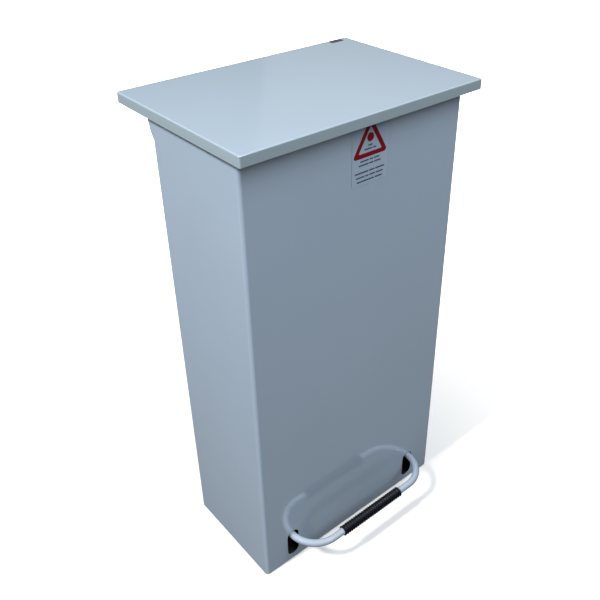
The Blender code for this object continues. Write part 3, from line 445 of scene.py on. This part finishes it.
# ---------------------------------------------------------------- pedal
def make_pedal_bar(finish):
    """The bent bar as one fine sweep along the CAD bar's own centre line."""
    low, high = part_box("pedal_bar")
    radius = (high.z - low.z) / 2
    level = (low.z + high.z) / 2
    half_width = high.x - radius
    crossbar_y = low.y + radius
    front_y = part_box("body_shell")[0].y
    bend = front_y - crossbar_y
    centre_x = half_width - bend
    flat = [(-half_width, high.y)]
    flat += arc((-centre_x, front_y), bend, 180, 270, BEND_STEPS)
    flat += arc((centre_x, front_y), bend, 270, 360, BEND_STEPS)
    flat += [(half_width, high.y)]
    curve = bpy.data.curves.new("bar", "CURVE")
    curve.dimensions = "3D"
    curve.bevel_depth = radius
    curve.bevel_resolution = BAR_ROUND
    curve.use_fill_caps = True
    spline = curve.splines.new("POLY")
    spline.points.add(len(flat) - 1)
    for point, (x, y) in zip(spline.points, flat):
        point.co = (x, y, level, 1)
    mesh = mesh_of_curve(curve)
    shade_by_angle(mesh)
    add_piece("pedal_bar_smooth", mesh, finish["painted_pedal"], "pedal", "painted_pedal", "pedal_bar")


def grip_profile(low_x, high_x, outer):
    """Radius and place of each point along the sleeve: bore, rounded end, grooves, rounded end, bore."""
    bore = outer - GRIP_WALL
    start, stop = low_x + GRIP_END, high_x - GRIP_END
    pitch = (stop - start) / GRIP_RIBS
    profile = [(bore, low_x)]
    corner = arc((0, 0), GRIP_END, 0, 90, GRIP_END_STEPS)
    profile += [(outer - GRIP_END + v, start - u) for u, v in corner]
    for rib in range(GRIP_RIBS):
        for i in range(1, GROOVE_STEPS):
            share = i / GROOVE_STEPS
            groove = RIB_HEIGHT * math.sin(math.pi * share)
            profile.append((outer - groove, start + (rib + share) * pitch))
        profile.append((outer, start + (rib + 1) * pitch))
    corner = arc((0, 0), GRIP_END, 90, 0, GRIP_END_STEPS)
    profile += [(outer - GRIP_END + v, stop + u) for u, v in corner[1:]]
    profile.append((bore, high_x))
    return profile


def make_grip(finish):
    """Moulded sleeve with a groove before each rib and plain rounded ends."""
    low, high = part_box("pedal_grip")
    middle = (low + high) / 2
    profile = grip_profile(low.x, high.x, (high.z - low.z) / 2)
    model = bmesh.new()
    rings = []
    for i in range(GRIP_ROUND):
        angle = 2 * math.pi * i / GRIP_ROUND
        ring = []
        for radius, x in profile:
            y = middle.y + radius * math.cos(angle)
            ring.append(model.verts.new((x, y, middle.z + radius * math.sin(angle))))
        rings.append(ring)
    count = len(profile)
    for i in range(GRIP_ROUND):
        here, after = rings[i], rings[(i + 1) % GRIP_ROUND]
        for k in range(count):
            follow = (k + 1) % count
            model.faces.new((here[k], after[k], after[follow], here[follow]))
    bmesh.ops.recalc_face_normals(model, faces=model.faces)
    mesh = bpy.data.meshes.new("grip")
    model.to_mesh(mesh)
    model.free()
    shade_by_angle(mesh)
    add_piece("pedal_grip_ribbed", mesh, finish["black_rubber"], "pedal", "black_rubber", "pedal_grip")


# ---------------------------------------------------------------- label and badge
def rounded_polygon(corners, radius):
    """A convex polygon, counter-clockwise, with an arc at each corner."""
    points = []
    count = len(corners)
    for i, corner in enumerate(corners):
        here = Vector(corner)
        before = (Vector(corners[i - 1]) - here).normalized()
        after = (Vector(corners[(i + 1) % count]) - here).normalized()
        half = before.angle(after) / 2
        centre = here + (before + after).normalized() * radius / math.sin(half)
        first = here + before * radius / math.tan(half) - centre
        last = here + after * radius / math.tan(half) - centre
        start = math.degrees(math.atan2(first.y, first.x))
        end = math.degrees(math.atan2(last.y, last.x))
        if end < start:
            end += 360
        points += arc(centre, radius, start, end, CORNER_STEPS)
    return points


def triangle(bottom, base, radius):
    """An upright triangle with equal sides, over the label's middle."""
    left, right = LABEL_MIDDLE_X - base / 2, LABEL_MIDDLE_X + base / 2
    top = bottom + base * math.sqrt(3) / 2
    return rounded_polygon([(left, bottom), (right, bottom), (LABEL_MIDDLE_X, top)], radius)


def bar_row(level, width, count):
    """A row of plain bars of uneven lengths."""
    shares = [1 + BAR_SPREAD * math.cos(BAR_TURN * k) for k in range(count)]
    printed = width - BAR_GAP * (count - 1)
    left = LABEL_MIDDLE_X - width / 2
    bars = []
    for share in shares:
        right = left + printed * share / sum(shares)
        bars.append([(left, level), (right, level), (right, level + BAR_HEIGHT), (left, level + BAR_HEIGHT)])
        left = right + BAR_GAP
    return bars


def make_label(finish):
    """Clear film with a plain red-edged triangle, a plain dot and plain bars. It holds no lettering."""
    low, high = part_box("front_label")
    upright = Matrix.Rotation(math.radians(90), 4, "X")
    film_plane = Matrix.Translation((0, high.y - LABEL_SHEET / 2, 0)) @ upright
    corners = [(low.x, low.z), (high.x, low.z), (high.x, high.z), (low.x, high.z)]
    mesh = flat_mesh([rounded_polygon(corners, LABEL_CORNER)], LABEL_SHEET, film_plane)
    add_piece("label_film", mesh, finish["label_film"], "casing", "label_film", "front_label")

    ink_y = high.y - LABEL_SHEET - LABEL_INK / 2 - INK_GAP
    ink_plane = Matrix.Translation((0, ink_y, 0)) @ upright
    outer = triangle(SIGN_BOTTOM, SIGN_BASE, SIGN_CORNER)
    inset = SIGN_BORDER * math.sqrt(3)
    inner = triangle(SIGN_BOTTOM + SIGN_BORDER, SIGN_BASE - 2 * inset, SIGN_INNER_CORNER)
    dot = arc((LABEL_MIDDLE_X, DOT_LEVEL), DOT_SIZE / 2, 0, 360, DOT_STEPS)[:-1]
    sign = flat_mesh([outer, inner[::-1], dot], LABEL_INK, ink_plane)
    add_piece("label_triangle", sign, finish["red_ink"], "casing", "label_film")

    marks = [bar for row in LABEL_ROWS for bar in bar_row(*row)]
    printed = flat_mesh(marks, LABEL_INK, ink_plane)
    add_piece("label_marks", printed, finish["dark_ink"], "casing", "label_film")


def make_badge(finish):
    """Plain dark plate with rounded corners and an eased edge."""
    low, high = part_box("lid_badge")
    corners = [(low.x, low.y), (high.x, low.y), (high.x, high.y), (low.x, high.y)]
    plane = Matrix.Translation((0, 0, (low.z + high.z) / 2))
    outline = rounded_polygon(corners, BADGE_CORNER)
    mesh = flat_mesh([outline], high.z - low.z, plane, BADGE_EASE)
    add_piece("lid_badge_plate", mesh, finish["dark_badge"], "lid", "dark_badge", "lid_badge")


# ---------------------------------------------------------------- studio
def make_floor():
    """A wide pale floor that glows for the camera, faintly near the can and fully further off: painted light
    that washes out its shadows. It is dim to all but the camera, so that it throws little light on the can.
    """
    mesh = bpy.data.meshes.new("floor")
    model = bmesh.new()
    bmesh.ops.create_grid(model, x_segments=1, y_segments=1, size=FLOOR_HALF)
    model.to_mesh(mesh)
    model.free()
    floor = bpy.data.objects.new("studio_floor", mesh)
    bpy.context.scene.collection.objects.link(floor)
    made, tree, shader = new_material("studio_floor")
    point = object_point(tree)
    cloud = mottle(tree, point, scale=3.0, detail=2.0, low=0.3, high=0.7)
    tree.links.new(blend_colours(tree, cloud, FLOOR_PALE, FLOOR_PALER), shader.inputs["Base Color"])
    shader.inputs["Roughness"].default_value = 0.9
    # painted light: the floor's own glow, seen only by the camera, grows with distance from the can
    shader.inputs["Emission Color"].default_value = (1, 1, 1, 1)
    far = tree.nodes.new("ShaderNodeVectorMath")
    far.operation = "LENGTH"
    tree.links.new(point, far.inputs[0])
    painted_glow = remap(tree, far.outputs["Value"], GLOW_START, GLOW_FULL, GLOW_LOW, 1)
    tree.links.new(painted_glow, shader.inputs["Emission Strength"])
    dim = tree.nodes.new("ShaderNodeBsdfDiffuse")
    dim.inputs["Color"].default_value = (FLOOR_BOUNCE, FLOOR_BOUNCE, FLOOR_BOUNCE, 1)
    seen = tree.nodes.new("ShaderNodeLightPath")
    either = tree.nodes.new("ShaderNodeMixShader")
    tree.links.new(seen.outputs["Is Camera Ray"], either.inputs[0])
    tree.links.new(dim.outputs["BSDF"], either.inputs[1])
    tree.links.new(shader.outputs["BSDF"], either.inputs[2])
    tree.links.new(either.outputs["Shader"], tree.nodes["Material Output"].inputs["Surface"])
    mesh.materials.append(made)


def add_softbox(name, place, target, width, height, watts, colour, in_gloss):
    """An oblong lamp that the camera doesn't see."""
    lamp = bpy.data.lights.new(name, "AREA")
    lamp.shape = "RECTANGLE"
    lamp.size = width
    lamp.size_y = height
    lamp.energy = watts
    lamp.color = colour
    made = bpy.data.objects.new(name, lamp)
    bpy.context.scene.collection.objects.link(made)
    aim = Vector(target) - Vector(place)
    made.matrix_world = Matrix.Translation(place) @ aim.to_track_quat("-Z", "Y").to_matrix().to_4x4()
    made.visible_camera = False
    made.visible_glossy = in_gloss


def make_world():
    """A soft dome, brighter overhead than at the horizon. The camera itself sees plain white."""
    world = bpy.data.worlds.new("studio")
    bpy.context.scene.world = world
    world.use_nodes = True
    tree = world.node_tree
    dome = tree.nodes["Background"]
    dome.inputs["Color"].default_value = (*DOME_COLOUR, 1)
    place = tree.nodes.new("ShaderNodeTexCoord")
    split = tree.nodes.new("ShaderNodeSeparateXYZ")
    tree.links.new(place.outputs["Generated"], split.inputs["Vector"])
    rise = remap(tree, split.outputs["Z"], DOME_START, DOME_FULL, DOME_LOW, DOME_HIGH)
    tree.links.new(rise, dome.inputs["Strength"])
    backdrop = tree.nodes.new("ShaderNodeBackground")
    backdrop.inputs["Color"].default_value = (1, 1, 1, 1)
    seen = tree.nodes.new("ShaderNodeLightPath")
    either = tree.nodes.new("ShaderNodeMixShader")
    tree.links.new(seen.outputs["Is Camera Ray"], either.inputs[0])
    tree.links.new(dome.outputs["Background"], either.inputs[1])
    tree.links.new(backdrop.outputs["Background"], either.inputs[2])
    tree.links.new(either.outputs["Shader"], tree.nodes["World Output"].inputs["Surface"])


def make_light():
    for softbox in SOFTBOXES:
        add_softbox(*softbox)
    bpy.context.scene.view_settings.view_transform = "Standard"


def make_camera():
    """The camera, at the photograph's viewing angle."""
    level = Vector((math.cos(CAMERA_HEADING), -math.sin(CAMERA_HEADING), 0))
    forward = Vector((math.sin(CAMERA_HEADING), math.cos(CAMERA_HEADING), 0))
    ahead = forward * math.cos(CAMERA_PITCH) + Vector((0, 0, math.sin(CAMERA_PITCH)))
    above = level.cross(ahead)
    right = level * math.cos(CAMERA_ROLL) + above * math.sin(CAMERA_ROLL)
    up = above * math.cos(CAMERA_ROLL) - level * math.sin(CAMERA_ROLL)
    turn = Matrix((right, up, -ahead)).transposed().to_4x4()
    lens = bpy.data.cameras.new("camera")
    lens.sensor_width = CAMERA_SENSOR
    lens.lens = CAMERA_LENS
    lens.shift_x, lens.shift_y = CAMERA_SHIFT
    made = bpy.data.objects.new("camera", lens)
    bpy.context.scene.collection.objects.link(made)
    made.matrix_world = Matrix.Translation(CAMERA_PLACE) @ turn
    bpy.context.scene.camera = made


# ---------------------------------------------------------------- assembly
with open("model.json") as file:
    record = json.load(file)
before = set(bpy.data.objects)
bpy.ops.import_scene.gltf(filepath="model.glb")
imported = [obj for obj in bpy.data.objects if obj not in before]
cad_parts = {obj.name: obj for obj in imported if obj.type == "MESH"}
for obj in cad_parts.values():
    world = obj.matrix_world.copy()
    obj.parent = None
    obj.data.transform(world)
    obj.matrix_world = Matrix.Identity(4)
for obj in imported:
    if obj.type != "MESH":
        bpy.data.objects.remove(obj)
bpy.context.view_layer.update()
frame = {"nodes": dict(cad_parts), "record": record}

finishes = make_finishes()
shading = shade_group()
slots = {part["node"]: part["material_slot"] for part in frame["record"]["subparts"]}
slots["lid_tray"] = "painted_lid"  # painted shade: the lid takes its darker copy of the casing paint
for node_name, node in frame["nodes"].items():
    for place in node.material_slots:
        place.material = finishes[slots[node_name]]
    refine(node, shading)

make_pedal_bar(finishes)
make_grip(finishes)
make_label(finishes)
make_badge(finishes)
make_floor()
make_world()
make_light()
make_camera()
